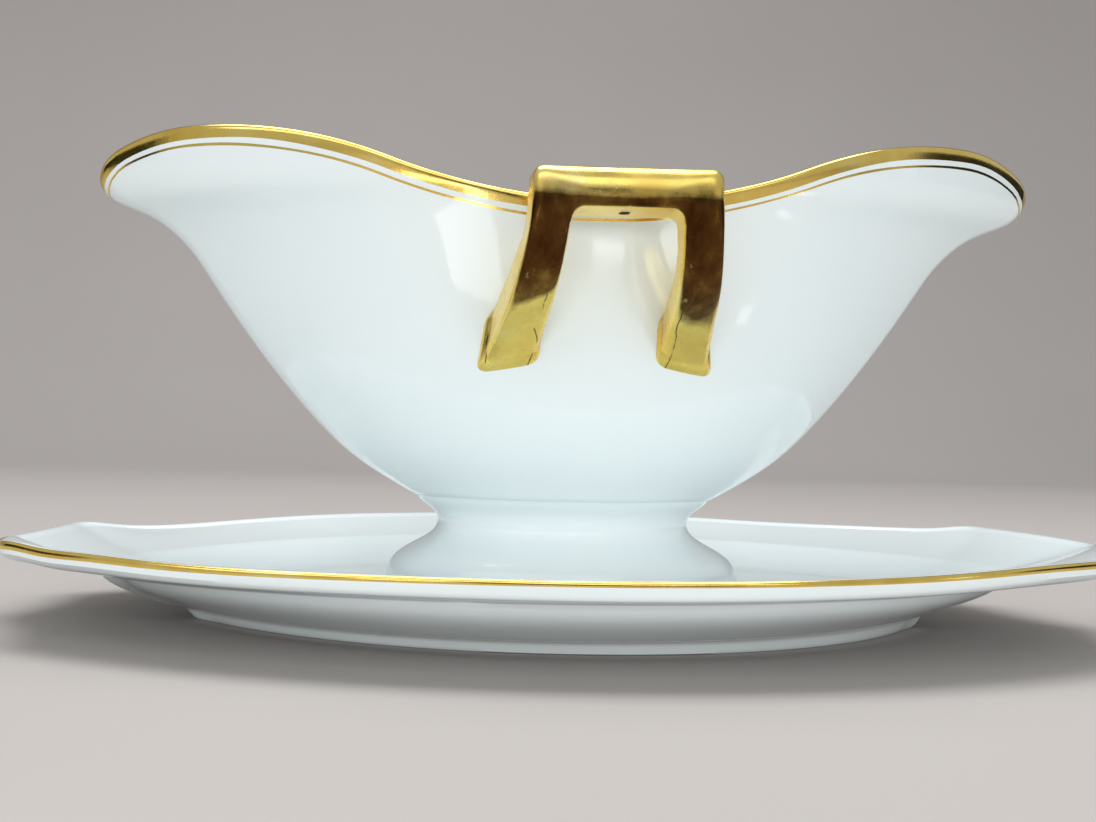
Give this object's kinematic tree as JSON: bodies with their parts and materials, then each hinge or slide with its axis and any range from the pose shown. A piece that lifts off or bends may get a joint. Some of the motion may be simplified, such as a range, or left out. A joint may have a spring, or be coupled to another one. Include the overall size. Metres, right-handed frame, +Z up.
{
  "type": "gravy boat",
  "caption": "Double-lipped porcelain gravy boat on a waisted foot, fixed to a pointed oval stand, with square bracket handles at the sides.",
  "frame": {"origin": "middle of the stand's foot-ring plane, the surface that the boat rests on", "axes": "+X along the stand's length through the right lip, +Y to the rear handle, +Z up; the front handle is on the -Y side"},
  "size_m": [0.25, 0.158, 0.1044],
  "materials": {
    "porcelain": "glossy transparent glaze over bluish-white porcelain, with gilded rim bands",
    "gilded_porcelain": "burnished gilding fired over the glaze"
  },
  "bodies": {
    "root": {"stand": "porcelain", "pedestal_foot": "porcelain", "bowl": "porcelain", "front_handle": "gilded_porcelain", "rear_handle": "gilded_porcelain"}
  },
  "joints": []
}
